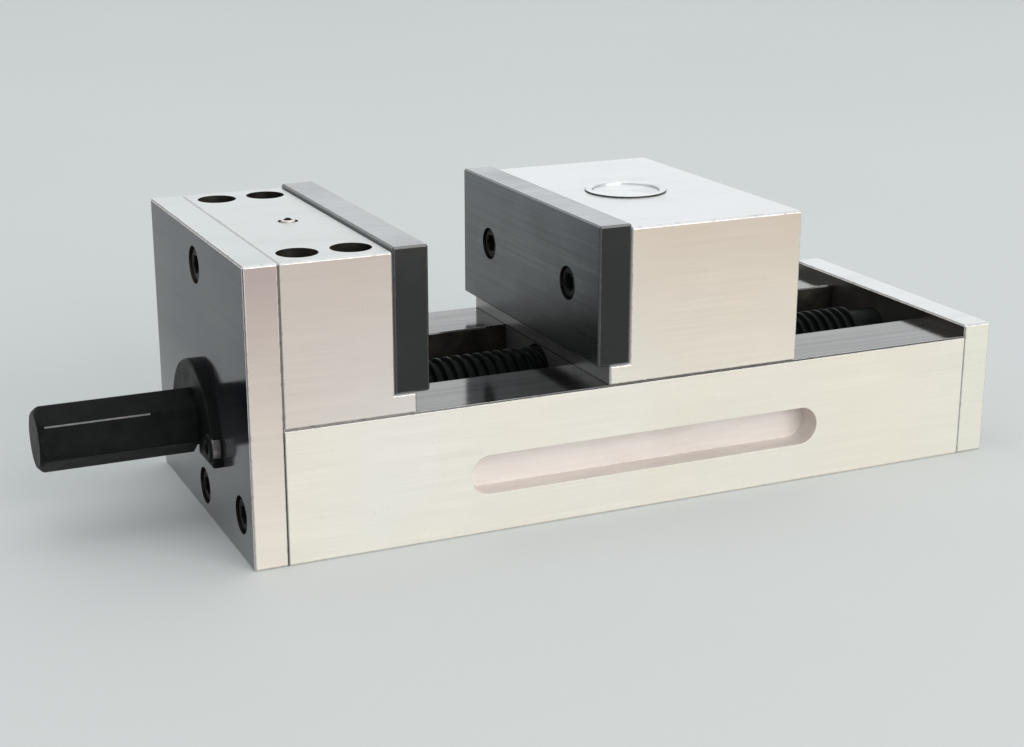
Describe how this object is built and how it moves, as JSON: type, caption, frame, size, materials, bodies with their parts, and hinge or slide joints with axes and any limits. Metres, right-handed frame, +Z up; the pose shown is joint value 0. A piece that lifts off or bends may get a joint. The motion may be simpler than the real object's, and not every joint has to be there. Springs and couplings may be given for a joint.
{
  "type": "machine vise",
  "caption": "Low precision screw vise: long ground bed with side clamping slots, a fixed and a sliding jaw block with black jaw plates, and a hexagon-ended lead screw.",
  "frame": {"origin": "middle of the bed's ground underside", "axes": "+X along the lead screw, from the hexagon drive end to the end plate; +Z up; +Y away from the side shown in the picture"},
  "size_m": [0.298, 0.1, 0.0882],
  "materials": {
    "ground_steel": "surface ground, bright",
    "jaw_plate_black_oxide": "hardened, ground and blackened, satin",
    "screw_black_oxide": "turned and blackened, lightly oiled",
    "fastener_black_oxide": "black oxide",
    "bearing_steel": "hardened and polished",
    "bronze": "turned bronze",
    "keeper_steel": "ground tool steel",
    "plug_steel": "turned and ground, bright"
  },
  "bodies": {
    "frame": {"base_body": "ground_steel", "bearing_balls": "bearing_steel", "bearing_cage": "bronze", "end_plate": "ground_steel", "end_plate_screws": "fastener_black_oxide", "fixed_jaw": "ground_steel", "fixed_jaw_dowels": "bearing_steel", "fixed_jaw_plate": "jaw_plate_black_oxide", "fixed_jaw_screws": "fastener_black_oxide", "fixed_plate_screws": "fastener_black_oxide", "front_bush": "bronze", "front_plate": "ground_steel", "front_plate_screws": "fastener_black_oxide", "oiler_ball": "bearing_steel", "oiler_cup": "fastener_black_oxide", "oiler_spring": "bearing_steel", "retainer_plate": "screw_black_oxide", "retainer_screws": "fastener_black_oxide", "static_race": "bearing_steel", "tail_bush": "bronze"},
    "screw": {"lead_screw": "screw_black_oxide", "rotating_race": "bearing_steel", "lock_collar": "screw_black_oxide", "lock_collar_screw": "fastener_black_oxide"},
    "jaw": {"moving_jaw": "ground_steel", "moving_jaw_plate": "jaw_plate_black_oxide", "moving_plate_screws": "fastener_black_oxide", "slide_nut": "bronze", "half_ball": "bearing_steel", "keeper_near": "keeper_steel", "keeper_far": "keeper_steel", "keeper_screws": "fastener_black_oxide", "plug_ring": "plug_steel", "top_plug": "plug_steel"}
  },
  "joints": [
    {"name": "jaw_slide", "type": "slide", "parent": "frame", "child": "jaw", "axis": [1, 0, 0], "range_m": [-0.053, 0.062]},
    {"name": "screw_spin", "type": "hinge", "parent": "frame", "child": "screw", "pos_m": [-0.1245, 0, 0.03], "axis": [1, 0, 0], "range_deg": [-6480, 5580]}
  ],
  "couplings": [
    {"joint": "screw_spin", "follows": "jaw_slide", "rad_per_m": -1795.2}
  ]
}
